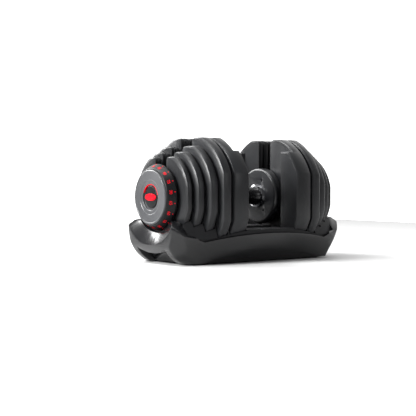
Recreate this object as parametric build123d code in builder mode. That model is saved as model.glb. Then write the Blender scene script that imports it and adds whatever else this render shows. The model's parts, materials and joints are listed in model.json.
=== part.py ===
"""Adjustable dumbbell with five weight plates at each end, a dial at each end, and its storage tray.

Frame: +Z up, X along the handle, origin at the middle of the tray's footprint on the floor.
Each piece of a pair is made at the +X end ("right") and mirrored to the -X end ("left").
"""
from build123d import *
import math
import os

# ---- Overall size ----
LENGTH = 444
WIDTH = 242
HEIGHT = 253
AXIS_Z = 133

# ---- Weight plates, from the handle outwards ----
LOBE_TOP = HEIGHT - AXIS_Z
HALF_WIDTH = WIDTH / 2
PLATES = [
    {"inner": 78, "outer": 104, "radius": 129, "top": LOBE_TOP, "half_width": HALF_WIDTH, "weight": 15.0},
    {"inner": 108.5, "outer": 130.5, "radius": 129, "top": LOBE_TOP, "half_width": HALF_WIDTH, "weight": 10.0},
    {"inner": 134.5, "outer": 154.5, "radius": 115, "top": 102, "half_width": 112, "weight": 7.5},
    {"inner": 158.5, "outer": 176, "radius": 102, "top": 90, "half_width": 100, "weight": 5.0},
    {"inner": 180, "outer": 194, "radius": 91, "top": 80.5, "half_width": 89, "weight": 2.5},
]
PLATE_BOTTOM = 118
BEVEL_WIDTH = 8
BEVEL_DEPTH = 5
BEVEL_STEP = 2.4
INNER_BEVEL = 3
SLOT_HALF = 19
MOUTH_RADIUS = 9
LOBE_ROUND = 20
SHOULDER_INNER = 64
SHOULDER_EDGE = 66
SHOULDER_TOP = 93
SKIN = 1.2

# ---- Selector: one disc in a channel inside each plate ----
CHANNEL = 5.0
CHANNEL_HALF = 46
DISC_RADIUS = 44
DISC_WEB = 1.8
DISC_GAP = 0.4
LIP = 2.0
LUG_INNER = 36
LUG_OUTER = 41
LUG_HEIGHT = 2.0
LUG_ANGLE = 14
STEPS = 18
STEP_ANGLE = 360 / STEPS
SETTINGS = 17
LIGHTEST_STEP = 2.5

# ---- Shafts ----
ROD_RADIUS = 6
RUNNING_FIT = 0.05
SPINDLE_RADIUS = 15
SPINDLE_START = 61
SPINDLE_END = 203
ROD_END = 212.5
TUBE_RADIUS = 12.5
TUBE_END = 60.5

# ---- Housing beside the grip ----
HOUSING_RADIUS = 59
HOUSING_FACE = 57
HOUSING_SPLIT = 71
HOUSING_BACK = 76
HOUSING_WALL = 2.5
HOUSING_ROUND = 5.5
COVER_SCREW_CIRCLE = 37
COVER_SCREW_ANGLE = 115
GRIP_HALF = 50
COLLAR_RADIUS = 24

# ---- Travel lock ----
GEAR_TIP = 24
GEAR_ROOT = 21
GEAR_NOTCHES = 36
GEAR_START = 62
GEAR_END = 68
LOCK_START = 63
LOCK_END = 67
LOCK_TRAVEL = 4
LOCK_STEM_HALF = 4
LOCK_FOOT = 60
LOCK_RING = 30.6

# ---- Dial ----
DIAL_FACE = LENGTH / 2
DIAL_RADIUS = 54.5
BAND_RADIUS = 66
RECESS_RADIUS = 26
CAP_RADIUS = 22

# ---- Tray ----
TRAY_FLOOR = 3
RIM_MIDDLE = 60
RIM_LOW = 45.5
RIM_LOW_X = 160
HORN_TOP = 88
TRAY_TOP = 96
CRADLE_RADIUS = 70
CRADLE_BACK = 198.5
LIP_RADIUS = 95
TRAY_WALL = 3.5
RACK_FIT = 0.2
RACK_FLOOR = 6
RACK_END = 195
WELL_SIDE = 0.8
WELL_ROUND = 1.2


def axis_plane(x):
    """Plane square to the handle's axis at x, with local x along +Y and local y along +Z."""
    return Plane(origin=(x, 0, AXIS_Z), x_dir=(0, 1, 0), z_dir=(1, 0, 0))


def axial_plane():
    """Upright plane through the handle's axis, with local x along +X and local y away from the axis."""
    return Plane(origin=(0, 0, AXIS_Z), x_dir=(1, 0, 0), z_dir=(0, -1, 0))


HANDLE_AXIS = Axis((0, 0, AXIS_Z), (1, 0, 0))


def polar(radius, angle):
    """Point at an angle in degrees on a circle about the sketch's origin."""
    return (radius * math.cos(math.radians(angle)), radius * math.sin(math.radians(angle)))


def turned(points):
    """Solid of revolution about the handle's axis from (x, radius) points."""
    with BuildPart() as piece:
        with BuildSketch(axial_plane()):
            with BuildLine():
                Polyline(*points, close=True)
            make_face()
        revolve(axis=HANDLE_AXIS)
    return piece.part


def write(name, part):
    """Names one finished piece and writes its STEP file."""
    part.label = name
    export_step(part, f"parts/{name}.step")


def write_pair(name, part):
    """Writes a piece made at the +X end and its mirror image at the -X end."""
    with BuildPart() as twin:
        add(part)
        mirror(about=Plane.YZ, mode=Mode.REPLACE)
    write(f"{name}_right", part)
    write(f"{name}_left", twin.part)


# ---------------------------------------------------------------- weight plates
def plate_bottom(plate):
    """Depth of the plate's flat bottom edge below the axis."""
    return min(PLATE_BOTTOM, plate["radius"] - 2)


def plate_outline(plate, inset=0.0, drop=0.0):
    """Face of a plate: flat-topped lobes, round shoulders, flat sides and a flat bottom."""
    radius = plate["radius"] - inset
    side = math.degrees(math.acos((plate["half_width"] - inset) / radius))
    low = plate_bottom(plate) - inset
    base = math.degrees(math.asin(low / radius))
    top = plate["top"] - drop
    lobe = math.sqrt(radius ** 2 - top ** 2)
    shoulder = math.degrees(math.acos(lobe / radius))
    with BuildSketch(Plane.XY) as outline:
        with BuildLine():
            Line((0, top), (lobe, top))
            CenterArc((0, 0), radius, side, shoulder - side)
            Line(polar(radius, side), polar(radius, -side))
            CenterArc((0, 0), radius, -base, base - side)
            Line(polar(radius, -base), (0, -low))
            mirror(about=Plane.YZ)
        make_face()
        fillet(outline.vertices().filter_by(lambda corner: corner.Y > top - 0.5 and abs(corner.X) > 5), LOBE_ROUND)
    return outline.sketch


def slot_outline(plate):
    """Open slot from above the plate's top edge down to the axis, with a rounded mouth."""
    top = plate["top"]
    mouth = SLOT_HALF + MOUTH_RADIUS
    with BuildSketch(Plane.XY) as outline:
        with BuildLine():
            Polyline((0, top + 1), (mouth, top + 1), (mouth, top))
            CenterArc((mouth, top - MOUTH_RADIUS), MOUTH_RADIUS, 90, 90)
            Line((SLOT_HALF, top - MOUTH_RADIUS), (SLOT_HALF, 0))
            CenterArc((0, 0), SLOT_HALF, 270, 90)
            mirror(about=Plane.YZ)
        make_face()
    return outline.sketch


def channel_outline(plate):
    """U-shaped channel round the axis, open at the plate's top edge."""
    with BuildSketch(Plane.XY) as outline:
        with BuildLine():
            Polyline((0, plate["top"] + 1), (CHANNEL_HALF, plate["top"] + 1), (CHANNEL_HALF, 0))
            CenterArc((0, 0), CHANNEL_HALF, 270, 90)
            mirror(about=Plane.YZ)
        make_face()
    return outline.sketch


def channel_start(plate):
    """Inner wall of the channel that the selector disc turns in."""
    return (plate["inner"] + plate["outer"] - CHANNEL) / 2


def make_core(plate, has_shoulders):
    """The two steel slabs inside a plate, one each side of the channel."""
    start = channel_start(plate)
    end = start + CHANNEL
    inset = INNER_BEVEL + SKIN
    slabs = [
        (plate["inner"] + SKIN, start - SKIN, inset),
        (end + SKIN, plate["outer"] - BEVEL_DEPTH, SKIN + 0.2),
        (plate["outer"] - BEVEL_DEPTH, plate["outer"] - SKIN, BEVEL_WIDTH + 1),
    ]
    with BuildPart() as core:
        for low, high, step in slabs:
            if high > low:
                with BuildSketch(axis_plane(max(low, end + SKIN) if step > inset else low)):
                    add(plate_outline(plate, step, step))
                    with Locations((0, plate["top"] / 2)):
                        Rectangle(2 * (SLOT_HALF + 2 * SKIN + 1), plate["top"], mode=Mode.SUBTRACT)
                    with Locations((0, plate["top"])):
                        Rectangle(2 * (SLOT_HALF + MOUTH_RADIUS + SKIN), 2 * (MOUTH_RADIUS + SKIN), mode=Mode.SUBTRACT)
                    Circle(SLOT_HALF + 2 * SKIN + 1, mode=Mode.SUBTRACT)
                extrude(amount=high - (max(low, end + SKIN) if step > inset else low))
        if has_shoulders:
            with BuildSketch(axis_plane(SHOULDER_INNER + SKIN)):
                add(plate_outline(plate, inset, inset))
                Rectangle(2 * (SHOULDER_EDGE + inset), 4 * LOBE_TOP, mode=Mode.SUBTRACT)
                Rectangle(2 * plate["half_width"], 2 * (SHOULDER_TOP - inset), mode=Mode.INTERSECT)
            extrude(amount=plate["inner"] - SHOULDER_INNER + 1)
    return core.part


def make_plate(plate, has_shoulders, core):
    """Moulded body of one plate, hollow round its steel slabs, with the lug that the disc's lip lifts."""
    inner, outer = plate["inner"], plate["outer"]
    start = channel_start(plate)
    step_x = outer - BEVEL_DEPTH
    face_x = step_x + BEVEL_STEP
    with BuildPart() as body:
        with BuildSketch(axis_plane(inner)):
            add(plate_outline(plate, INNER_BEVEL, INNER_BEVEL))
        with BuildSketch(axis_plane(inner + INNER_BEVEL)):
            add(plate_outline(plate))
        loft(ruled=True)
        with BuildSketch(axis_plane(inner + INNER_BEVEL)):
            add(plate_outline(plate))
        extrude(amount=step_x - inner - INNER_BEVEL)
        with BuildSketch(axis_plane(step_x)):
            add(plate_outline(plate))
        with BuildSketch(axis_plane(face_x)):
            add(plate_outline(plate, BEVEL_STEP / 2, BEVEL_STEP / 4))
        loft(ruled=True)
        with BuildSketch(axis_plane(face_x)):
            add(plate_outline(plate, BEVEL_STEP / 2, BEVEL_STEP / 4))
        with BuildSketch(axis_plane(outer)):
            add(plate_outline(plate, BEVEL_WIDTH, BEVEL_STEP))
        loft(ruled=True)
        if has_shoulders:
            with BuildSketch(axis_plane(SHOULDER_INNER)):
                add(plate_outline(plate))
                Rectangle(2 * SHOULDER_EDGE, 4 * LOBE_TOP, mode=Mode.SUBTRACT)
                Rectangle(2 * plate["half_width"], 2 * SHOULDER_TOP, mode=Mode.INTERSECT)
            extrude(amount=inner + INNER_BEVEL - SHOULDER_INNER)
            chamfer(body.faces().sort_by(Axis.X)[:2].edges(), INNER_BEVEL)
        with BuildSketch(axis_plane(inner - 1)):
            add(slot_outline(plate))
        extrude(amount=outer - inner + 2, mode=Mode.SUBTRACT)
        with BuildSketch(axis_plane(start)):
            add(channel_outline(plate))
        extrude(amount=CHANNEL, mode=Mode.SUBTRACT)
        with BuildSketch(axis_plane(start)):
            with BuildLine():
                low = CenterArc((0, 0), LUG_INNER, 270 - LUG_ANGLE / 2, LUG_ANGLE)
                high = CenterArc((0, 0), LUG_OUTER, 270 - LUG_ANGLE / 2, LUG_ANGLE)
                Line(low @ 0, high @ 0)
                Line(low @ 1, high @ 1)
            make_face()
        extrude(amount=LUG_HEIGHT)
        add(core, mode=Mode.SUBTRACT)
    return body.part


# ---------------------------------------------------------------- selector
def is_lifted(plate_index, setting):
    """Whether a plate is picked up at a setting, taking the heaviest plates first."""
    left = LIGHTEST_STEP * setting
    for index, plate in enumerate(PLATES):
        picked = plate["weight"] <= left
        if picked:
            left -= plate["weight"]
        if index == plate_index:
            return picked
    return False


def lip_runs(plate_index):
    """Stretches of settings, as (first, count), over which a disc has its lifting lip."""
    runs = []
    for setting in range(SETTINGS):
        if not is_lifted(plate_index, setting):
            continue
        if runs and runs[-1][0] + runs[-1][1] == setting:
            runs[-1][1] += 1
        else:
            runs.append([setting, 1])
    return runs


def make_discs():
    """The five selector discs of one end, each with a lip at the settings that lift its plate."""
    with BuildPart() as discs:
        for index, plate in enumerate(PLATES):
            start = channel_start(plate)
            web = start + CHANNEL - DISC_GAP - DISC_WEB
            with BuildSketch(axis_plane(web)):
                Circle(DISC_RADIUS)
                Circle(SPINDLE_RADIUS, mode=Mode.SUBTRACT)
            extrude(amount=DISC_WEB)
            for first, count in lip_runs(index):
                angle = 270 + (first - SETTINGS + 1 - 0.5) * STEP_ANGLE
                sweep_angle = count * STEP_ANGLE
                with BuildSketch(axis_plane(start + DISC_GAP)):
                    with BuildLine():
                        low = CenterArc((0, 0), DISC_RADIUS - LIP, angle, sweep_angle)
                        high = CenterArc((0, 0), DISC_RADIUS, angle, sweep_angle)
                        Line(low @ 0, high @ 0)
                        Line(low @ 1, high @ 1)
                    make_face()
                extrude(amount=web - start - DISC_GAP)
    return discs.part


def make_lock_gear():
    """Notched wheel on the spindle's inner end."""
    with BuildPart() as gear:
        with BuildSketch(axis_plane(GEAR_START)):
            Circle(GEAR_TIP)
            Circle(SPINDLE_RADIUS, mode=Mode.SUBTRACT)
            with PolarLocations((GEAR_TIP + GEAR_ROOT) / 2, GEAR_NOTCHES, start_angle=90):
                Rectangle(GEAR_TIP - GEAR_ROOT, 2.2, mode=Mode.SUBTRACT)
        extrude(amount=GEAR_END - GEAR_START)
    return gear.part


# ---------------------------------------------------------------- handle pieces
def make_cover():
    """Cup-shaped housing cover whose face is seen beside the grip."""
    depth = HOUSING_SPLIT - HOUSING_FACE
    with BuildPart() as cover:
        with BuildSketch(axis_plane(HOUSING_FACE)):
            Circle(HOUSING_RADIUS)
        extrude(amount=depth)
        fillet(cover.edges().group_by(Axis.X)[0], HOUSING_ROUND)
        with BuildSketch(axis_plane(HOUSING_FACE + HOUSING_WALL)):
            Circle(HOUSING_RADIUS - HOUSING_WALL)
        extrude(amount=depth, mode=Mode.SUBTRACT)
        with BuildSketch(axis_plane(HOUSING_FACE + HOUSING_WALL)):
            with PolarLocations(COVER_SCREW_CIRCLE, 3, start_angle=COVER_SCREW_ANGLE):
                Circle(4.5)
        extrude(amount=3)
        with BuildSketch(axis_plane(HOUSING_FACE)):
            with PolarLocations(COVER_SCREW_CIRCLE, 3, start_angle=COVER_SCREW_ANGLE):
                Circle(3)
        extrude(amount=3.5, mode=Mode.SUBTRACT)
        with BuildSketch(axis_plane(HOUSING_FACE)):
            Circle(TUBE_RADIUS)
            with PolarLocations(COVER_SCREW_CIRCLE, 3, start_angle=COVER_SCREW_ANGLE):
                Circle(1.6)
        extrude(amount=depth, mode=Mode.SUBTRACT)
        with BuildSketch(axis_plane(LOCK_START - 0.5)):
            with Locations((0, -HOUSING_RADIUS)):
                Rectangle(2 * LOCK_STEM_HALF + 1, 12)
        extrude(amount=LOCK_END - LOCK_START + 1, mode=Mode.SUBTRACT)
    return cover.part


def make_back_plate():
    """Plate that closes the housing on the weight side, with posts for the cover's screws."""
    with BuildPart() as back:
        with BuildSketch(axis_plane(HOUSING_SPLIT)):
            Circle(HOUSING_RADIUS)
            Circle(SPINDLE_RADIUS + 0.5, mode=Mode.SUBTRACT)
        extrude(amount=HOUSING_BACK - HOUSING_SPLIT)
        chamfer(back.edges().filter_by(GeomType.CIRCLE).sort_by(SortBy.RADIUS)[-2:].group_by(Axis.X)[-1], 1.5)
        with BuildSketch(axis_plane(HOUSING_FACE + HOUSING_WALL + 3)):
            with PolarLocations(COVER_SCREW_CIRCLE, 3, start_angle=COVER_SCREW_ANGLE):
                Circle(4)
        extrude(amount=HOUSING_SPLIT - HOUSING_FACE - HOUSING_WALL - 3)
        with BuildSketch(axis_plane(HOUSING_FACE)):
            with PolarLocations(COVER_SCREW_CIRCLE, 3, start_angle=COVER_SCREW_ANGLE):
                Circle(1.5)
        extrude(amount=HOUSING_SPLIT - HOUSING_FACE, mode=Mode.SUBTRACT)
        with BuildSketch(Plane.XY.offset(AXIS_Z + HOUSING_RADIUS - HOUSING_WALL - 4)):
            with Locations(((LOCK_START + LOCK_END) / 2, 0)):
                Rectangle(9, 14)
        extrude(amount=3)
        with BuildSketch(axis_plane(HOUSING_SPLIT)):
            with Locations((0, HOUSING_RADIUS - HOUSING_WALL - 3)):
                Rectangle(14, 5)
        extrude(amount=-2)
    return back.part


def make_cover_screws():
    """Three pan-head screws in the cover."""
    with BuildPart() as screws:
        for index in range(3):
            spot = polar(COVER_SCREW_CIRCLE, COVER_SCREW_ANGLE + 120 * index)
            with BuildSketch(axis_plane(HOUSING_FACE + 3.5)):
                with Locations(spot):
                    Circle(1.5)
            extrude(amount=9)
            with BuildSketch(axis_plane(HOUSING_FACE + 1.5)):
                with Locations(spot):
                    Circle(2.8)
                    Rectangle(0.8, 3.4, mode=Mode.SUBTRACT)
                    Rectangle(3.4, 0.8, mode=Mode.SUBTRACT)
            extrude(amount=1)
            with BuildSketch(axis_plane(HOUSING_FACE + 2.5)):
                with Locations(spot):
                    Circle(2.8)
            extrude(amount=1)
    return screws.part


def make_lock_slider():
    """Frame round the notched wheel: its top tooth drops into a notch once the handle leaves the tray."""
    ring_centre = LOCK_TRAVEL / 2
    with BuildPart() as slider:
        with BuildSketch(axis_plane(LOCK_START)):
            with Locations((0, ring_centre)):
                Circle(LOCK_RING)
            with Locations((0, -(LOCK_FOOT + 26) / 2)):
                Rectangle(2 * LOCK_STEM_HALF, LOCK_FOOT - 26)
            with Locations((0, ring_centre)):
                Circle(LOCK_RING - 4, mode=Mode.SUBTRACT)
            with Locations((0, 27.6)):
                Rectangle(1.6, 4.8)
        extrude(amount=LOCK_END - LOCK_START)
        with BuildSketch(Plane.XY.offset(AXIS_Z + ring_centre + LOCK_RING - 0.5)):
            with Locations(((LOCK_START + LOCK_END) / 2, 0)):
                Circle(1.9)
        extrude(amount=4)
    return slider.part


def make_lock_spring():
    """Coil spring that pushes the slider down."""
    low = AXIS_Z + LOCK_TRAVEL / 2 + LOCK_RING + 0.7
    high = AXIS_Z + HOUSING_RADIUS - HOUSING_WALL - 4.6
    centre = (LOCK_START + LOCK_END) / 2
    with BuildPart() as spring:
        with BuildLine() as coil:
            Helix(pitch=3.4, height=high - low, radius=3.0, center=(centre, 0, low))
        with BuildSketch(Plane(origin=coil.line @ 0, z_dir=coil.line % 0)):
            Circle(0.5)
        sweep(is_frenet=True)
    return spring.part


def make_grip():
    """Rubber sleeve, fuller in the middle and at both ends."""
    half = GRIP_HALF
    with BuildPart() as grip:
        with BuildSketch(axial_plane()):
            with BuildLine():
                Polyline((-half, TUBE_RADIUS), (-half, 19))
                Line((-half, 19), (-half + 2, 20))
                Spline((-half + 2, 20), (-30, 16.6), (0, 18.2), (30, 16.6), (half - 2, 20))
                Line((half - 2, 20), (half, 19))
                Polyline((half, 19), (half, TUBE_RADIUS), (-half, TUBE_RADIUS))
            make_face()
        revolve(axis=HANDLE_AXIS)
    return grip.part


def make_nut():
    """Hexagon nut on the rod's end."""
    with BuildPart() as nut:
        with BuildSketch(axis_plane(SPINDLE_END + 3.5)):
            RegularPolygon(radius=10.4, side_count=6)
            Circle(ROD_RADIUS, mode=Mode.SUBTRACT)
        extrude(amount=5)
    return nut.part


# ---------------------------------------------------------------- dial pieces
BAND_PROFILE = [
    (199.5, SPINDLE_RADIUS), (SPINDLE_END, SPINDLE_RADIUS), (SPINDLE_END, 6.6), (206, 6.6), (206, 22),
    (204, 22), (204, 52), (210, 52), (210, DIAL_RADIUS), (219.5, DIAL_RADIUS), (218.5, 57.5),
    (203.5, BAND_RADIUS), (201, BAND_RADIUS), (199.5, BAND_RADIUS - 3),
]
FACE_PROFILE = [
    (210, CAP_RADIUS), (210, DIAL_RADIUS), (220.5, DIAL_RADIUS), (DIAL_FACE, DIAL_RADIUS - 1.5),
    (DIAL_FACE, DIAL_RADIUS - 3.2), (221.2, DIAL_RADIUS - 4), (221.2, 35), (220.4, 34),
    (220.4, RECESS_RADIUS + 1), (219.6, RECESS_RADIUS), (216, RECESS_RADIUS), (216, CAP_RADIUS),
]
CAP_PROFILE = [
    (213.5, 0), (213.5, 19.5), (210.5, 19.5), (210.5, CAP_RADIUS), (217.5, CAP_RADIUS),
    (218.5, CAP_RADIUS - 1.5), (218.5, 0),
]


def make_arc():
    """Thin coloured arc on the wall of the dial's recess."""
    with BuildPart() as arc:
        with BuildSketch(axis_plane(216)):
            with BuildLine():
                low = CenterArc((0, 0), RECESS_RADIUS - 1.3, 20, 150)
                high = CenterArc((0, 0), RECESS_RADIUS, 20, 150)
                Line(low @ 0, high @ 0)
                Line(low @ 1, high @ 1)
            make_face()
        extrude(amount=3.6)
    return arc.part


def make_badge():
    """Plain oval badge on the cap."""
    with BuildPart() as badge:
        with BuildSketch(axis_plane(218.5)):
            Ellipse(19, 7.2)
        extrude(amount=1.6)
        chamfer(badge.edges().group_by(Axis.X)[-1], 0.5)
    return badge.part


DIGIT_WIDTH = 3.0
DIGIT_HEIGHT = 5.4
STROKE = 0.9
DIGIT_PITCH = 3.9
BARS = {
    "top": (0, 1, 1, 0), "middle": (0, 0, 1, 0), "bottom": (0, -1, 1, 0),
    "high_left": (-1, 0.5, 0, 1), "high_right": (1, 0.5, 0, 1),
    "low_left": (-1, -0.5, 0, 1), "low_right": (1, -0.5, 0, 1),
}
DIGITS = {
    "0": ["top", "bottom", "high_left", "high_right", "low_left", "low_right"],
    "1": ["high_right", "low_right"],
    "2": ["top", "middle", "bottom", "high_right", "low_left"],
    "3": ["top", "middle", "bottom", "high_right", "low_right"],
    "4": ["middle", "high_left", "high_right", "low_right"],
    "5": ["top", "middle", "bottom", "high_left", "low_right"],
    "6": ["top", "middle", "bottom", "high_left", "low_left", "low_right"],
    "7": ["top", "high_right", "low_right"],
    "8": list(BARS),
    "9": ["top", "middle", "bottom", "high_left", "high_right", "low_right"],
}


def number_outline(value):
    """Two-digit number drawn with straight bars."""
    reach = (DIGIT_WIDTH - STROKE) / 2
    rise = (DIGIT_HEIGHT - STROKE) / 2
    with BuildSketch(Plane.XY) as outline:
        for place, digit in enumerate(str(value)):
            centre = (place - 0.5) * DIGIT_PITCH
            for bar in DIGITS[digit]:
                x, y, is_wide, is_tall = BARS[bar]
                with Locations((centre + x * reach, y * rise)):
                    Rectangle(STROKE + 2 * reach * is_wide, STROKE + rise * is_tall)
    return outline.sketch


def make_numbers(band):
    """Raised numbers 10 to 90 by fives and their ticks on the sloping band."""
    low_x, low_r = 203.5, BAND_RADIUS
    high_x, high_r = 218.5, 57.5
    slope = math.atan2(low_r - high_r, high_x - low_x)
    with BuildPart() as numbers:
        for setting in range(SETTINGS):
            angle = math.radians(90 + (setting - SETTINGS + 1) * STEP_ANGLE)
            outward = Vector(math.sin(slope), math.cos(slope) * math.cos(angle), math.cos(slope) * math.sin(angle))
            across = Vector(0, math.sin(angle), -math.cos(angle))
            for share, is_tick in ((0.6, False), (0.12, True)):
                x = low_x + share * (high_x - low_x)
                r = low_r + share * (high_r - low_r)
                spot = Vector(x, r * math.cos(angle), AXIS_Z + r * math.sin(angle))
                with BuildSketch(Plane(origin=spot - outward * 0.5, x_dir=across, z_dir=outward)):
                    if is_tick:
                        Circle(0.9)
                    else:
                        add(number_outline(10 + 5 * setting))
                extrude(amount=0.75)
        add(band, mode=Mode.SUBTRACT)
    return numbers.part


# ---------------------------------------------------------------- tray
TRAY_SECTIONS = [
    (TRAY_FLOOR, {"corner_x": 180, "corner_y": 86, "middle": 92, "end": 188, "end_y": 66}),
    (34, {"corner_x": 196, "corner_y": 90, "middle": 108, "end": 220, "end_y": 67}),
    (RIM_MIDDLE, {"corner_x": 205, "corner_y": 94, "middle": HALF_WIDTH - 2, "end": 227, "end_y": 69}),
    (TRAY_TOP, {"corner_x": 205, "corner_y": 88, "middle": 116, "end": 226, "end_y": 64}),
]
CORNER_ROUND = 9
ARCH_HALF = 155
ARCH_TOP = 26
ARCH_DEPTH = 3.5


def plan_outline(plan, inset=0.0):
    """Tray outline seen from above: bowed sides, straight ends and slanted corners."""
    x, y = plan["corner_x"] - inset, plan["corner_y"] - inset
    middle, end, end_y = plan["middle"] - inset, plan["end"] - inset, plan["end_y"] - inset / 2
    with BuildSketch(Plane.XY) as outline:
        with BuildLine():
            ThreePointArc((-x, y), (0, middle), (x, y))
            Polyline((x, y), (end, end_y), (end, -end_y), (x, -y))
            ThreePointArc((x, -y), (0, -middle), (-x, -y))
            Polyline((-x, -y), (-end, -end_y), (-end, end_y), (-x, y))
        make_face()
        fillet(outline.vertices(), CORNER_ROUND - inset)
    return outline.sketch


def tray_mass(inset=0.0):
    """Flared body of the tray before its ends, rim and hollows are cut."""
    with BuildPart() as mass:
        for height, plan in TRAY_SECTIONS:
            with BuildSketch(Plane.XY.offset(height)):
                add(plan_outline(plan, inset))
        loft()
    return mass.part


def end_form():
    """Round form of both ends about the dial's axis: cradle, sloping collar and lip."""
    half = [
        (CRADLE_BACK, 0), (CRADLE_BACK, CRADLE_RADIUS), (208, CRADLE_RADIUS), (DIAL_FACE, LIP_RADIUS),
        (DIAL_FACE, 190),
    ]
    return turned(half + [(-x, r) for x, r in reversed(half)])


def arch_cuts(grow=0.0):
    """Layer of the long sides below a low arch, as deep as the recess there."""
    with BuildPart() as arches:
        with BuildSketch(Plane.XZ.offset(-WIDTH)):
            with BuildLine():
                arch = ThreePointArc((-ARCH_HALF - grow, TRAY_FLOOR - 1), (0, ARCH_TOP + grow),
                                     (ARCH_HALF + grow, TRAY_FLOOR - 1))
                Line(arch @ 1, arch @ 0)
            make_face()
        extrude(amount=2 * WIDTH)
        add(tray_mass(ARCH_DEPTH + grow), mode=Mode.SUBTRACT)
        with BuildSketch(Plane.XY):
            Rectangle(2 * LENGTH, 120)
        extrude(amount=HEIGHT, mode=Mode.SUBTRACT)
    return arches.part


def toe_cuts(grow=0.0):
    """Recess under each end between the corner feet, with a round upper edge."""
    with BuildPart() as toes:
        for side in (1, -1):
            with BuildSketch(axis_plane(side * (177 - grow))):
                with Locations((0, -AXIS_Z + 15)):
                    Rectangle(96 + 2 * grow, 40 + 2 * grow)
                Circle(112 - grow, mode=Mode.SUBTRACT)
            extrude(amount=side * 60)
    return toes.part


def tray_cavity(gap=0.0):
    """Space inside the tray's walls, shrunk by a gap for the pieces that fit in it."""
    with BuildPart() as cavity:
        add(tray_mass(TRAY_WALL + gap))
        with BuildSketch(Plane.XY):
            Rectangle(2 * (RACK_END - gap), 2 * WIDTH)
        extrude(amount=HEIGHT, mode=Mode.INTERSECT)
        add(arch_cuts(TRAY_WALL + gap), mode=Mode.SUBTRACT)
        add(toe_cuts(TRAY_WALL + gap), mode=Mode.SUBTRACT)
    return cavity.part


def make_shell():
    """Outer shell of the tray."""
    with BuildPart() as shell:
        add(tray_mass())
        add(end_form(), mode=Mode.INTERSECT)
        with BuildSketch(Plane.XZ.offset(-WIDTH)):
            with BuildLine():
                ThreePointArc((-RIM_LOW_X, RIM_LOW), (0, RIM_MIDDLE), (RIM_LOW_X, RIM_LOW))
                Polyline((RIM_LOW_X, RIM_LOW), (174, 51), (189, 66), (197, HORN_TOP), (LENGTH, HORN_TOP),
                         (LENGTH, HEIGHT), (-LENGTH, HEIGHT), (-LENGTH, HORN_TOP), (-197, HORN_TOP),
                         (-189, 66), (-174, 51), (-RIM_LOW_X, RIM_LOW))
            make_face()
        extrude(amount=2 * WIDTH, mode=Mode.SUBTRACT)
        with BuildSketch(Plane.YZ.offset(-LENGTH)):
            with BuildLine():
                Polyline((58, HEIGHT), (58, HORN_TOP), (66, HORN_TOP - 2), (98, 54), (WIDTH, 54),
                         (WIDTH, HEIGHT), close=True)
            make_face()
            mirror(about=Plane.YZ)
        horn_slope = extrude(amount=2 * LENGTH, mode=Mode.PRIVATE)
        with BuildSketch(Plane.XZ.offset(-WIDTH)):
            with Locations((LENGTH / 2 + 178, HEIGHT / 2), (-LENGTH / 2 - 178, HEIGHT / 2)):
                Rectangle(LENGTH, HEIGHT)
        end_zone = extrude(amount=2 * WIDTH, mode=Mode.PRIVATE)
        add(horn_slope & end_zone, mode=Mode.SUBTRACT)
        add(arch_cuts(), mode=Mode.SUBTRACT)
        add(toe_cuts(), mode=Mode.SUBTRACT)
        add(tray_cavity(), mode=Mode.SUBTRACT)
    return shell.part


SCREW_SPOTS = [(92, 62), (92, -62), (-92, 62), (-92, -62), (150, 30), (150, -30), (-150, 30), (-150, -30)]
RACK_ZONES = [(0, 132.5, 68), (132, 157, 77), (156.5, 179, 83), (178.5, RACK_END, 88)]
RACK_SIDES = [
    (RIM_LOW - 2, {"corner_x": 200, "corner_y": 91, "middle": 118}),
    (90, {"corner_x": 200, "corner_y": 71, "middle": 112}),
]


def rack_form():
    """Body that bounds the rack above the rim: bowed sides that lean inwards."""
    with BuildPart() as form:
        for height, plan in RACK_SIDES:
            with BuildSketch(Plane.XY.offset(height)):
                with BuildLine():
                    ThreePointArc((-plan["corner_x"], plan["corner_y"]), (0, plan["middle"]),
                                  (plan["corner_x"], plan["corner_y"]))
                    Line((plan["corner_x"], plan["corner_y"]), (plan["corner_x"], -plan["corner_y"]))
                    ThreePointArc((plan["corner_x"], -plan["corner_y"]), (0, -plan["middle"]),
                                  (-plan["corner_x"], -plan["corner_y"]))
                    Line((-plan["corner_x"], -plan["corner_y"]), (-plan["corner_x"], plan["corner_y"]))
                make_face()
        loft(ruled=True)
        with BuildSketch(Plane.XY):
            Rectangle(2 * LENGTH, 2 * WIDTH)
        extrude(amount=RIM_LOW - 2)
    return form.part


def plate_wells():
    """Room for every plate in the rack, flat under the plate's bottom edge."""
    with BuildPart() as wells:
        for plate in PLATES:
            low = plate_bottom(plate)
            with BuildSketch(axis_plane(plate["inner"] - WELL_SIDE)):
                add(plate_outline(plate, -WELL_ROUND, -WELL_ROUND))
                with Locations((0, 200 - low)):
                    Rectangle(400, 400, mode=Mode.INTERSECT)
            extrude(amount=plate["outer"] - plate["inner"] + 2 * WELL_SIDE)
        with BuildSketch(axis_plane(SHOULDER_INNER - WELL_SIDE)):
            add(plate_outline(PLATES[0], -WELL_ROUND, -WELL_ROUND))
            Rectangle(2 * (SHOULDER_EDGE - WELL_ROUND), 3 * LOBE_TOP, mode=Mode.SUBTRACT)
            Rectangle(3 * HALF_WIDTH, 2 * (SHOULDER_TOP + WELL_ROUND), mode=Mode.INTERSECT)
        extrude(amount=PLATES[0]["inner"] - SHOULDER_INNER)
        mirror(about=Plane.YZ)
    return wells.part


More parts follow.
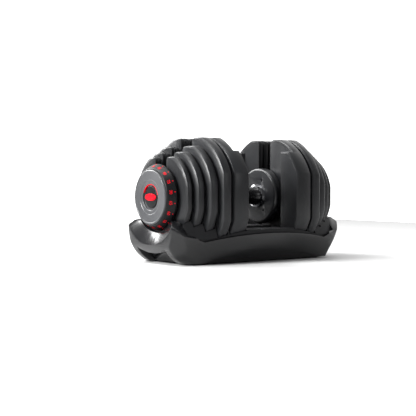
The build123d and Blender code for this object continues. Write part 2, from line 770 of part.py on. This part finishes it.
def make_rack():
    """Moulded insert with a stepped top and a well for each plate."""
    with BuildPart() as rack:
        for low_x, high_x, top in RACK_ZONES:
            with BuildSketch(Plane.XY.offset(RACK_FLOOR)):
                for side in (1, -1):
                    with Locations((side * (low_x + high_x) / 2, 0)):
                        Rectangle(high_x - low_x, WIDTH)
            extrude(amount=top - RACK_FLOOR)
        add(tray_cavity(RACK_FIT), mode=Mode.INTERSECT)
        add(rack_form(), mode=Mode.INTERSECT)
        with BuildSketch(Plane.XY.offset(RIM_MIDDLE)):
            Rectangle(2 * (HOUSING_FACE - 3), 96)
        extrude(amount=AXIS_Z - HOUSING_RADIUS - RIM_MIDDLE - 2)
        with BuildSketch(Plane.XY.offset(RACK_FLOOR - 1)):
            RectangleRounded(108, 176, 10)
        extrude(amount=RIM_MIDDLE - RACK_FLOOR + 3, mode=Mode.SUBTRACT)
        add(plate_wells(), mode=Mode.SUBTRACT)
        with BuildSketch(Plane.XY.offset(RIM_MIDDLE)):
            for side in (1, -1):
                with Locations((side * 64, 0)):
                    Rectangle(8, 9)
        extrude(amount=AXIS_Z - LOCK_FOOT - RIM_MIDDLE)
        for spot in SCREW_SPOTS:
            with BuildSketch(Plane.XY.offset(RACK_FLOOR)):
                with Locations(spot):
                    Circle(1.5)
            extrude(amount=6, mode=Mode.SUBTRACT)
    return rack.part


def make_base_cover():
    """Flat plate that closes the tray from below."""
    with BuildPart() as cover:
        add(tray_cavity(RACK_FIT))
        with BuildSketch(Plane.XY):
            Rectangle(2 * LENGTH, 2 * WIDTH)
        extrude(amount=RACK_FLOOR, mode=Mode.INTERSECT)
        with BuildSketch(Plane.XY):
            with Locations(*SCREW_SPOTS):
                Circle(1.6)
        extrude(amount=RACK_FLOOR, mode=Mode.SUBTRACT)
    return cover.part


def make_feet():
    """Four rubber feet."""
    with BuildPart() as feet:
        with BuildSketch(Plane.XY):
            with GridLocations(2 * 148, 2 * 66, 2, 2):
                RectangleRounded(38, 18, 6)
        extrude(amount=TRAY_FLOOR)
        chamfer(feet.edges().group_by(Axis.Z)[0], 0.6)
    return feet.part


def make_tray_screws():
    """Screws that hold the base cover to the rack."""
    with BuildPart() as screws:
        for spot in SCREW_SPOTS:
            with BuildSketch(Plane.XY.offset(TRAY_FLOOR - 1.4)):
                with Locations(spot):
                    Circle(3.4)
            extrude(amount=1.4)
            with BuildSketch(Plane.XY.offset(TRAY_FLOOR)):
                with Locations(spot):
                    Circle(1.5)
            extrude(amount=9)
    return screws.part


os.makedirs("parts", exist_ok=True)

# ---- Tray ----
write("tray_shell", make_shell())
write("tray_rack", make_rack())
write("tray_base_cover", make_base_cover())
write("tray_feet", make_feet())
write("tray_screws", make_tray_screws())

# ---- Handle ----
write("handle_tube", turned([(-TUBE_END, ROD_RADIUS + 2), (-TUBE_END, TUBE_RADIUS), (TUBE_END, TUBE_RADIUS),
                             (TUBE_END, ROD_RADIUS + 2)]))
write("axle_rod", turned([(-ROD_END, 0), (-ROD_END, ROD_RADIUS), (ROD_END, ROD_RADIUS), (ROD_END, 0)]))
write("grip", make_grip())
write_pair("grip_collar", turned([(GRIP_HALF, TUBE_RADIUS), (GRIP_HALF, 20), (51.5, COLLAR_RADIUS),
                                  (HOUSING_FACE, 25), (HOUSING_FACE, TUBE_RADIUS)]))
write_pair("housing_cover", make_cover())
write_pair("housing_back", make_back_plate())
write_pair("housing_screws", make_cover_screws())
write_pair("lock_slider", make_lock_slider())
write_pair("lock_spring", make_lock_spring())
write_pair("axle_nut", make_nut())

# ---- Dials and selectors ----
dial_band = turned(BAND_PROFILE)
write_pair("dial_band", dial_band)
write_pair("dial_face", turned(FACE_PROFILE))
write_pair("dial_cap", turned(CAP_PROFILE))
write_pair("dial_arc", make_arc())
write_pair("dial_badge", make_badge())
write_pair("selector_spindle", turned([(SPINDLE_START, ROD_RADIUS + RUNNING_FIT), (SPINDLE_START, SPINDLE_RADIUS),
                                       (SPINDLE_END, SPINDLE_RADIUS), (SPINDLE_END, ROD_RADIUS + RUNNING_FIT)]))
write_pair("selector_discs", make_discs())
write_pair("lock_gear", make_lock_gear())

# ---- Numbers read the right way round at both ends ----
numbers = make_numbers(dial_band)
write("dial_numbers_right", numbers)
with BuildPart() as far_numbers:
    add(numbers.rotate(Axis((0, 0, 0), (0, 0, 1)), 180))
write("dial_numbers_left", far_numbers.part)

# ---- Weight plates ----
for letter, plate in zip("edcba", PLATES):
    core = make_core(plate, letter == "e")
    write_pair(f"plate_{letter}_weights", core)
    write_pair(f"plate_{letter}", make_plate(plate, letter == "e", core))
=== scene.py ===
"""Adjustable dumbbell in its storage tray: finishes, dial numbers, softened edges and studio.

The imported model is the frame. The moulded pieces are copied from it with their edges softened,
the dial numbers are set in type, and every piece is given its finish.
"""
import json
import math
from functools import partial

import bpy
from mathutils import Matrix, Vector


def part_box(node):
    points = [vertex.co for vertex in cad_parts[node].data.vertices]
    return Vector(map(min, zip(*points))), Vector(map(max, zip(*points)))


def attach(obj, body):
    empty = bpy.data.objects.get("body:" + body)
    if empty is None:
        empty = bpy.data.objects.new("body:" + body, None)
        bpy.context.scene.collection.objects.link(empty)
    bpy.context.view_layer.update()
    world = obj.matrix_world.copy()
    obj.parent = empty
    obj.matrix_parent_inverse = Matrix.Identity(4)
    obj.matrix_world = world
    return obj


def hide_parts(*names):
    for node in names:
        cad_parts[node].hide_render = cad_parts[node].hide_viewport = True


bl_info = {
    "name": "Adjustable Dumbbell",
    "version": (1, 0, 0),
    "blender": (4, 5, 0),
    "location": "View3D > Sidebar > Dumbbell",
    "description": "Finishes, dial numbers and studio for a dial-adjustable dumbbell in its tray",
    "category": "Object",
}

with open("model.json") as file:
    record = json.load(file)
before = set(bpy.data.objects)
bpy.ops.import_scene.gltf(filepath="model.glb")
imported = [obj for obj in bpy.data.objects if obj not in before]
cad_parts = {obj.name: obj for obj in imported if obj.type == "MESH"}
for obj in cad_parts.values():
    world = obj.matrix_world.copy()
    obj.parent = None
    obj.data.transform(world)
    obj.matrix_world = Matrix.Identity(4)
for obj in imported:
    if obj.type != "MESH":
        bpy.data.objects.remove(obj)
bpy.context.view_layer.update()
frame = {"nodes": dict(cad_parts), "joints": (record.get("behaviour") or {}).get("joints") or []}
NODES = frame["nodes"]

SIDES = ("right", "left")
TURN = next(joint for joint in frame["joints"] if joint["name"] == "dial_right_turn")
AXIS_HEIGHT = TURN["pos_m"][2]

# dial settings, 10 to 90 by fives
SETTINGS = 17
STEP = math.radians(20)
LOWEST_WEIGHT = 10
WEIGHT_STEP = 5

# sloping part of the right-hand dial's band: where it starts, its length, its first radius and its drop
BAND_LOW, BAND_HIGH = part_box("dial_band_right")
BAND_START = BAND_LOW.x + 0.004
BAND_LENGTH = 0.015
BAND_RADIUS = BAND_HIGH.z - AXIS_HEIGHT
BAND_DROP = 0.0085

# numbers and ticks: how far along the slope they stand, and their sizes
TYPE_SHARE = 0.6
TYPE_RELIEF = 0.00012
TYPE_BOLDNESS = 0.00012
TICK_SHARE = 0.12
TICK_RADIUS = 0.0011
TICK_DEPTH = 0.0003
MARK_CLEARANCE = 0.00005

# copies of the frame's meshes: how near vertices are merged, how flat faces are joined, and how
# sharp edges are rounded
MERGE_DISTANCE = 0.00001
FLAT_ANGLE = math.radians(0.6)
SHARP_ANGLE = math.radians(28)

# edge rounding: the tray's as a share of the plates', and the small moulded pieces' own
TRAY_EDGE_SHARE = 1.2
HOUSING_EDGE = 0.0006
BAND_EDGE = 0.0006
FACE_EDGE = 0.0004
CAP_EDGE = 0.0005
BADGE_EDGE = 0.0003

# studio; each softbox has a name, place, width, length, roll about its beam and power in watts
FLOOR_SIZE = 3.3
FLOOR_COLOUR = (0.55, 0.55, 0.55)
ROOM_COLOUR = (0.21, 0.21, 0.21)
BACKDROP_COLOUR = (1, 1, 1)
WORLD_STRENGTH = 1.9
SOFTBOXES = (
    ("key", (-1.75, 0.15, 1.0), 0.5, 0.6, 0, 60),
    ("strip", (-0.62, 0.5, 1.95), 0.4, 1.1, -0.8, 26),
    ("back", (-0.55, 1.4, 1.25), 0.7, 1.3, -0.6, 50),
    ("top", (0.2, -0.3, 3.6), 1.6, 1.6, 0, 36),
    ("side", (0.5, -2.2, 1.0), 0.7, 0.7, 0, 4),
)


# ---------------------------------------------------------------- settings
class DumbbellSettings(bpy.types.PropertyGroup):
    """Colours and sizes of the dumbbell and its tray"""
    plate_colour: bpy.props.FloatVectorProperty(
        name="Plate colour", description="Moulded skin of the weight plates", subtype="COLOR", size=3,
        min=0, max=1, default=(0.010, 0.0105, 0.0118))
    tray_colour: bpy.props.FloatVectorProperty(
        name="Tray colour", description="Outer shell of the tray", subtype="COLOR", size=3,
        min=0, max=1, default=(0.004, 0.0042, 0.005))
    dial_colour: bpy.props.FloatVectorProperty(
        name="Dial colour", description="Flat ring on the end of each dial", subtype="COLOR", size=3,
        min=0, max=1, default=(0.050, 0.0515, 0.055))
    mark_colour: bpy.props.FloatVectorProperty(
        name="Mark colour", description="Numbers, ticks, arc and badge", subtype="COLOR", size=3,
        min=0, max=1, default=(0.56, 0.003, 0.011))
    edge_radius: bpy.props.FloatProperty(
        name="Edge radius", description="Rounding on the plates' edges", subtype="DISTANCE",
        unit="LENGTH", min=0.0001, max=0.003, default=0.0009)
    number_size: bpy.props.FloatProperty(
        name="Number size", description="Size of the type on the dial's band", subtype="DISTANCE",
        unit="LENGTH", min=0.002, max=0.01, default=0.0082)


class StudioSettings(bpy.types.PropertyGroup):
    """Where the camera stands and looks"""
    distance: bpy.props.FloatProperty(
        name="Camera distance", description="Level distance from the camera to the middle of the tray",
        subtype="DISTANCE", unit="LENGTH", min=0.5, max=10, default=2.081)
    heading: bpy.props.FloatProperty(
        name="Heading", description="Direction from the camera to the tray, from the handle's axis",
        subtype="ANGLE", unit="ROTATION", default=math.radians(51))
    height: bpy.props.FloatProperty(
        name="Camera height", description="Height of the camera above the floor", subtype="DISTANCE",
        unit="LENGTH", min=0, max=5, default=0.168)
    turn: bpy.props.FloatProperty(
        name="Turn", description="Turn to the left from the tray's middle", subtype="ANGLE",
        unit="ROTATION", default=math.radians(1.66))
    tilt: bpy.props.FloatProperty(
        name="Tilt", description="Tilt below the horizon", subtype="ANGLE", unit="ROTATION",
        default=math.radians(1.66))
    lens: bpy.props.FloatProperty(
        name="Lens", description="Focal length in millimetres on a 36 mm frame", unit="CAMERA",
        min=10, max=300, default=84.94)


# ---------------------------------------------------------------- finishes
def shader(name, colour, roughness, metallic=0.0, coat=0.0, specular=0.5):
    """New material with a principled shader; returns its material, node tree and shader."""
    material = bpy.data.materials.new(name)
    material.use_nodes = True
    tree = material.node_tree
    surface = tree.nodes["Principled BSDF"]
    surface.inputs["Base Color"].default_value = (*colour, 1)
    surface.inputs["Roughness"].default_value = roughness
    surface.inputs["Metallic"].default_value = metallic
    surface.inputs["Coat Weight"].default_value = coat
    surface.inputs["Coat Roughness"].default_value = 0.12
    surface.inputs["Specular IOR Level"].default_value = specular
    return material, tree, surface


def link(tree, source, socket, target, name):
    """Joins a node's output to another node's input."""
    tree.links.new(source.outputs[socket], target.inputs[name])


def noise(tree, scale, detail, stretch=(1, 1, 1)):
    """Noise on object coordinates, in features per metre."""
    place = tree.nodes.new("ShaderNodeTexCoord")
    mapping = tree.nodes.new("ShaderNodeMapping")
    mapping.inputs["Scale"].default_value = stretch
    texture = tree.nodes.new("ShaderNodeTexNoise")
    texture.inputs["Scale"].default_value = scale
    texture.inputs["Detail"].default_value = detail
    link(tree, place, "Object", mapping, "Vector")
    link(tree, mapping, "Vector", texture, "Vector")
    return texture


def ramp(tree, source, socket, *stops):
    """Colour ramp between two (position, colour) stops, read from a value."""
    node = tree.nodes.new("ShaderNodeValToRGB")
    for element, (position, colour) in zip(node.color_ramp.elements, stops):
        element.position = position
        element.color = (*colour, 1)
    link(tree, source, socket, node, "Fac")
    return node


def bump(tree, source, socket, surface, strength, depth, under=None):
    """Bump from a height, on top of another bump if one is given."""
    node = tree.nodes.new("ShaderNodeBump")
    node.inputs["Strength"].default_value = strength
    node.inputs["Distance"].default_value = depth
    link(tree, source, socket, node, "Height")
    if under:
        link(tree, under, "Normal", node, "Normal")
    link(tree, node, "Normal", surface, "Normal")
    return node


def tone(colour, factor):
    """A colour made darker or lighter."""
    return tuple(min(1.0, channel * factor) for channel in colour)


def moulded(name, colour, roughness, grain, depth, mottling=0.18, coat=0.0, specular=0.5):
    """Moulded plastic: fine spark-eroded grain, faint flow mottling and uneven sheen."""
    material, tree, surface = shader(name, colour, roughness, coat=coat, specular=specular)
    flow = noise(tree, scale=14, detail=4)
    colours = ramp(tree, flow, "Fac", (0.3, tone(colour, 1 - mottling)), (0.7, tone(colour, 1 + mottling)))
    link(tree, colours, "Color", surface, "Base Color")
    sheen = tree.nodes.new("ShaderNodeMapRange")
    sheen.inputs["To Min"].default_value = 0.9 * roughness
    sheen.inputs["To Max"].default_value = 1.1 * roughness
    link(tree, noise(tree, scale=45, detail=5), "Fac", sheen, "Value")
    link(tree, sheen, "Result", surface, "Roughness")
    swell, pits = noise(tree, scale=30, detail=2), noise(tree, scale=grain, detail=2)
    wave = bump(tree, swell, "Fac", surface, strength=0.03, depth=0.0006 * roughness)
    bump(tree, pits, "Fac", surface, strength=0.5, depth=depth, under=wave)
    return material


def metal(name, colour, roughness, stretch=(1, 1, 1), scratch=900):
    """Metal with fine scratches, drawn out along one axis where it is stretched."""
    material, tree, surface = shader(name, colour, roughness, metallic=1.0)
    lines = noise(tree, scratch, detail=4, stretch=stretch)
    colours = ramp(tree, lines, "Fac", (0.35, tone(colour, 0.82)), (0.65, tone(colour, 1.1)))
    link(tree, colours, "Color", surface, "Base Color")
    bump(tree, lines, "Fac", surface, strength=0.25, depth=0.00002)
    return material


def rubber(name, colour, cell, roughness=0.55, depth=0.0003):
    """Rubber with a fine cellular grip pattern."""
    material, tree, surface = shader(name, colour, roughness)
    place = tree.nodes.new("ShaderNodeTexCoord")
    cells = tree.nodes.new("ShaderNodeTexVoronoi")
    cells.inputs["Scale"].default_value = cell
    link(tree, place, "Object", cells, "Vector")
    wear = noise(tree, scale=60, detail=5)
    dust = ramp(tree, wear, "Fac", (0.35, tone(colour, 0.8)), (0.7, tone(colour, 1.35)))
    link(tree, dust, "Color", surface, "Base Color")
    bump(tree, cells, "Distance", surface, strength=0.5, depth=depth)
    return material


FINISHES = {}
ALONG_SHAFT = (0.05, 1, 1)  # draws noise out into lines along the handle's axis


def finish(name):
    """The named finish, made from the settings when it is first asked for."""
    if name in FINISHES:
        return FINISHES[name]
    settings = bpy.context.scene.dumbbell
    plate, tray = tuple(settings.plate_colour), tuple(settings.tray_colour)
    dial, mark = tuple(settings.dial_colour), tuple(settings.mark_colour)
    recipes = {
        "plate_skin": partial(
            moulded, colour=plate, roughness=0.34, grain=900, depth=0.00014, mottling=0.25, specular=0.32),
        "tray_skin": partial(
            moulded, colour=tray, roughness=0.22, grain=500, depth=0.000004, mottling=0.1, coat=0.12,
            specular=0.4),
        "rack_skin": partial(
            moulded, colour=tone(tray, 1.2), roughness=0.55, grain=1400, depth=0.0001, specular=0.25),
        "housing_skin": partial(
            moulded, colour=tone(tray, 2.2), roughness=0.34, grain=800, depth=0.00002),
        "dial_skin": partial(
            moulded, colour=tone(tray, 0.8), roughness=0.4, grain=1300, depth=0.00006, specular=0.18),
        "dial_ring": partial(moulded, colour=dial, roughness=0.3, grain=1800, depth=0.00003, mottling=0.1),
        "marks": partial(
            moulded, colour=mark, roughness=0.38, grain=1500, depth=0.00002, mottling=0.05, specular=0.06),
        "selector_nylon": partial(
            moulded, colour=tone(plate, 1.1), roughness=0.6, grain=1500, depth=0.00008),
        "spindle_metal": partial(metal, colour=(0.45, 0.45, 0.46), roughness=0.32, stretch=ALONG_SHAFT),
        "shaft_steel": partial(metal, colour=(0.55, 0.55, 0.56), roughness=0.25, stretch=ALONG_SHAFT),
        "dark_steel": partial(metal, colour=(0.10, 0.10, 0.105), roughness=0.4),
        "slab_steel": partial(metal, colour=(0.22, 0.22, 0.23), roughness=0.5),
        "chrome": partial(metal, colour=(0.5, 0.5, 0.52), roughness=0.1, scratch=2500),
        "grip_rubber": partial(
            rubber, colour=(0.004, 0.004, 0.0045), cell=700, roughness=0.2, depth=0.00004),
        "foot_rubber": partial(rubber, colour=(0.012, 0.012, 0.012), cell=500),
    }
    FINISHES[name] = recipes[name](name)
    return FINISHES[name]


def paint(piece, name):
    """Gives a piece one finish all over."""
    piece.data.materials.clear()
    piece.data.materials.append(finish(name))


# ---------------------------------------------------------------- modelling helpers
def pick(piece):
    """Makes a piece the only one selected."""
    bpy.ops.object.select_all(action="DESELECT")
    piece.select_set(True)
    bpy.context.view_layer.objects.active = piece


def soften(node_name, body, finish_name, width):
    """Puts a copy with rounded edges in a moulded piece's place."""
    node = NODES[node_name]
    piece = bpy.data.objects.new(f"{node_name}_skin", node.data.copy())
    bpy.context.scene.collection.objects.link(piece)
    pick(piece)
    bpy.ops.object.mode_set(mode="EDIT")
    bpy.ops.mesh.select_all(action="SELECT")
    bpy.ops.mesh.remove_doubles(threshold=MERGE_DISTANCE)
    bpy.ops.mesh.dissolve_limited(angle_limit=FLAT_ANGLE, use_dissolve_boundaries=False)
    bpy.ops.object.mode_set(mode="OBJECT")
    bevel = piece.modifiers.new("edges", "BEVEL")
    bevel.width = width
    bevel.segments = 2
    bevel.limit_method = "ANGLE"
    bevel.angle_limit = SHARP_ANGLE
    bevel.use_clamp_overlap = True
    bevel.miter_outer = "MITER_ARC"
    bpy.ops.object.modifier_apply(modifier="edges")
    bpy.ops.object.shade_smooth_by_angle(angle=SHARP_ANGLE)
    paint(piece, finish_name)
    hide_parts(node_name)
    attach(piece, body)


def mark_place(setting, share):
    """Matrix that stands a mark on the right-hand dial's slope, a share of the way to its outer edge."""
    slope = math.atan2(BAND_DROP, BAND_LENGTH)
    angle = math.pi / 2 + (setting - SETTINGS + 1) * STEP
    radial = Vector((0, math.cos(angle), math.sin(angle)))
    outward = math.cos(slope) * radial + Vector((math.sin(slope), 0, 0))
    across = Vector((0, math.sin(angle), -math.cos(angle)))
    up = outward.cross(across)
    spot = Vector((BAND_START + BAND_LENGTH * share, 0, AXIS_HEIGHT))
    spot += (BAND_RADIUS - BAND_DROP * share) * radial
    place = Matrix((across, up, outward)).transposed().to_4x4()
    place.translation = spot + outward * MARK_CLEARANCE
    return place


def set_number(setting, size):
    """One raised number on the right-hand dial."""
    bpy.ops.object.select_all(action="DESELECT")
    bpy.ops.object.text_add(location=(0, 0, 0))
    text = bpy.context.object.data
    text.body = str(LOWEST_WEIGHT + WEIGHT_STEP * setting)
    text.size = size
    text.align_x = "CENTER"
    text.align_y = "CENTER"
    text.extrude = TYPE_RELIEF
    text.offset = TYPE_BOLDNESS
    text.resolution_u = 3
    bpy.ops.object.convert(target="MESH")
    number = bpy.context.object
    number.data.transform(mark_place(setting, TYPE_SHARE))
    return number


def set_tick(setting):
    """The round tick next to a number."""
    bpy.ops.object.select_all(action="DESELECT")
    bpy.ops.mesh.primitive_cylinder_add(vertices=20, radius=TICK_RADIUS, depth=TICK_DEPTH)
    tick = bpy.context.object
    tick.data.transform(mark_place(setting, TICK_SHARE))
    return tick


# ---------------------------------------------------------------- studio helpers
def lay_floor():
    """Pale matt floor under the tray."""
    bpy.ops.object.select_all(action="DESELECT")
    bpy.ops.mesh.primitive_plane_add(size=FLOOR_SIZE)
    floor = bpy.context.object
    floor.name = "studio_floor"
    material, *_ = shader("studio_floor", FLOOR_COLOUR, roughness=0.7)
    floor.data.materials.append(material)


def light_room(away):
    """World that is bright behind the tray and dim round the rest of the room."""
    world = bpy.data.worlds.new("studio_world")
    world.use_nodes = True
    tree = world.node_tree
    place = tree.nodes.new("ShaderNodeTexCoord")
    facing = tree.nodes.new("ShaderNodeVectorMath")
    facing.operation = "DOT_PRODUCT"
    facing.inputs[1].default_value = away
    link(tree, place, "Generated", facing, "Vector")
    backdrop = ramp(tree, facing, "Value", (0.3, ROOM_COLOUR), (0.85, BACKDROP_COLOUR))
    link(tree, backdrop, "Color", tree.nodes["Background"], "Color")
    tree.nodes["Background"].inputs["Strength"].default_value = WORLD_STRENGTH
    bpy.context.scene.world = world


def hang_softboxes():
    """Softboxes that all point at the middle of the handle."""
    middle = Vector((0, 0, AXIS_HEIGHT))
    for name, spot, width, length, roll, power in SOFTBOXES:
        bpy.ops.object.light_add(type="AREA", location=spot)
        lamp = bpy.context.object
        lamp.name = f"{name}_softbox"
        lamp.data.shape = "RECTANGLE"
        lamp.data.size = width
        lamp.data.size_y = length
        lamp.data.energy = power
        lamp.rotation_euler = (middle - Vector(spot)).to_track_quat("-Z", "Y").to_euler()
        lamp.rotation_euler.rotate_axis("Z", roll)


def place_camera(studio, away):
    """Camera at its distance and height, turned and tilted a little off the tray's middle."""
    heading = studio.heading + studio.turn
    level = math.cos(studio.tilt)
    look = Vector((math.cos(heading) * level, math.sin(heading) * level, -math.sin(studio.tilt)))
    bpy.ops.object.camera_add(location=-away * studio.distance + Vector((0, 0, studio.height)))
    camera = bpy.context.object
    camera.data.sensor_width = 36
    camera.data.lens = studio.lens
    camera.data.clip_start = 0.05
    camera.data.clip_end = 50
    camera.rotation_euler = look.to_track_quat("-Z", "Y").to_euler()
    bpy.context.scene.camera = camera


# ---------------------------------------------------------------- operators
class DUMBBELL_OT_plates(bpy.types.Operator):
    """Round the edges of the ten weight plates and give them their moulded skin"""
    bl_idname = "dumbbell.plates"
    bl_label = "Weight plates"

    def execute(self, context):
        radius = context.scene.dumbbell.edge_radius
        for side in SIDES:
            for letter in "abcde":
                soften(f"plate_{letter}_{side}", f"weight_{letter}_{side}", "plate_skin", radius)
                paint(NODES[f"plate_{letter}_weights_{side}"], "slab_steel")
        return {"FINISHED"}


class DUMBBELL_OT_tray(bpy.types.Operator):
    """Round the tray shell's edges and finish the tray's pieces"""
    bl_idname = "dumbbell.tray"
    bl_label = "Storage tray"

    def execute(self, context):
        radius = context.scene.dumbbell.edge_radius
        soften("tray_shell", "tray", "tray_skin", radius * TRAY_EDGE_SHARE)
        paint(NODES["tray_rack"], "rack_skin")
        paint(NODES["tray_base_cover"], "rack_skin")
        paint(NODES["tray_feet"], "foot_rubber")
        paint(NODES["tray_screws"], "dark_steel")
        return {"FINISHED"}


class DUMBBELL_OT_handle(bpy.types.Operator):
    """Finish the grip, its collars, the housings beside it and the travel lock"""
    bl_idname = "dumbbell.handle"
    bl_label = "Handle"

    def execute(self, context):
        paint(NODES["grip"], "grip_rubber")
        paint(NODES["handle_tube"], "shaft_steel")
        paint(NODES["axle_rod"], "shaft_steel")
        for side in SIDES:
            soften(f"housing_cover_{side}", "handle", "housing_skin", HOUSING_EDGE)
            soften(f"housing_back_{side}", "handle", "housing_skin", HOUSING_EDGE)
            paint(NODES[f"grip_collar_{side}"], "chrome")
            paint(NODES[f"housing_screws_{side}"], "dark_steel")
            paint(NODES[f"axle_nut_{side}"], "dark_steel")
            paint(NODES[f"lock_spring_{side}"], "shaft_steel")
            paint(NODES[f"lock_slider_{side}"], "selector_nylon")
        return {"FINISHED"}


class DUMBBELL_OT_dials(bpy.types.Operator):
    """Finish both dials with their selector spindles and discs"""
    bl_idname = "dumbbell.dials"
    bl_label = "Dials and selectors"

    def execute(self, context):
        for side in SIDES:
            soften(f"dial_band_{side}", f"dial_{side}", "dial_skin", BAND_EDGE)
            soften(f"dial_face_{side}", f"dial_{side}", "dial_ring", FACE_EDGE)
            soften(f"dial_cap_{side}", f"dial_{side}", "dial_skin", CAP_EDGE)
            paint(NODES[f"dial_arc_{side}"], "marks")
            soften(f"dial_badge_{side}", f"dial_{side}", "marks", BADGE_EDGE)
            paint(NODES[f"selector_spindle_{side}"], "spindle_metal")
            paint(NODES[f"selector_discs_{side}"], "selector_nylon")
            paint(NODES[f"lock_gear_{side}"], "selector_nylon")
        return {"FINISHED"}


class DUMBBELL_OT_numbers(bpy.types.Operator):
    """Set the numbers and their ticks round each dial's band"""
    bl_idname = "dumbbell.numbers"
    bl_label = "Dial numbers"

    def execute(self, context):
        size = context.scene.dumbbell.number_size
        for side in SIDES:
            marks = []
            for setting in range(SETTINGS):
                marks += [set_number(setting, size), set_tick(setting)]
            bpy.ops.object.select_all(action="DESELECT")
            for mark in marks:
                mark.select_set(True)
            context.view_layer.objects.active = marks[0]
            bpy.ops.object.join()
            numbers = context.object
            numbers.name = f"dial_type_{side}"
            # the left-hand dial is the right-hand one turned half round
            if side == "left":
                numbers.data.transform(Matrix.Rotation(math.pi, 4, "Z"))
            paint(numbers, "marks")
            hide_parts(f"dial_numbers_{side}")
            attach(numbers, f"dial_{side}")
        return {"FINISHED"}


class DUMBBELL_OT_stage(bpy.types.Operator):
    """Set up the floor, the soft lights and the camera"""
    bl_idname = "dumbbell.stage"
    bl_label = "Studio"

    def execute(self, context):
        studio = context.scene.dumbbell_studio
        away = Vector((math.cos(studio.heading), math.sin(studio.heading), 0))
        lay_floor()
        light_room(away)
        hang_softboxes()
        place_camera(studio, away)
        context.scene.view_settings.view_transform = "Standard"
        return {"FINISHED"}


class DUMBBELL_PT_panel(bpy.types.Panel):
    """Steps and settings of the dumbbell"""
    bl_idname = "DUMBBELL_PT_panel"
    bl_label = "Adjustable Dumbbell"
    bl_space_type = "VIEW_3D"
    bl_region_type = "UI"
    bl_category = "Dumbbell"

    def draw(self, context):
        for step in STEPS:
            self.layout.operator(step.bl_idname)
        for group in (context.scene.dumbbell, context.scene.dumbbell_studio):
            for name in group.__annotations__:
                self.layout.prop(group, name)


STEPS = (
    DUMBBELL_OT_plates,
    DUMBBELL_OT_tray,
    DUMBBELL_OT_handle,
    DUMBBELL_OT_dials,
    DUMBBELL_OT_numbers,
    DUMBBELL_OT_stage,
)
CLASSES = (DumbbellSettings, StudioSettings, *STEPS, DUMBBELL_PT_panel)


def register():
    for cls in CLASSES:
        bpy.utils.register_class(cls)
    bpy.types.Scene.dumbbell = bpy.props.PointerProperty(type=DumbbellSettings)
    bpy.types.Scene.dumbbell_studio = bpy.props.PointerProperty(type=StudioSettings)


def unregister():
    del bpy.types.Scene.dumbbell_studio
    del bpy.types.Scene.dumbbell
    for cls in reversed(CLASSES):
        bpy.utils.unregister_class(cls)


def main():
    register()
    bpy.ops.dumbbell.plates()
    bpy.ops.dumbbell.tray()
    bpy.ops.dumbbell.handle()
    bpy.ops.dumbbell.dials()
    bpy.ops.dumbbell.numbers()
    bpy.ops.dumbbell.stage()


if __name__ == "__main__":
    main()
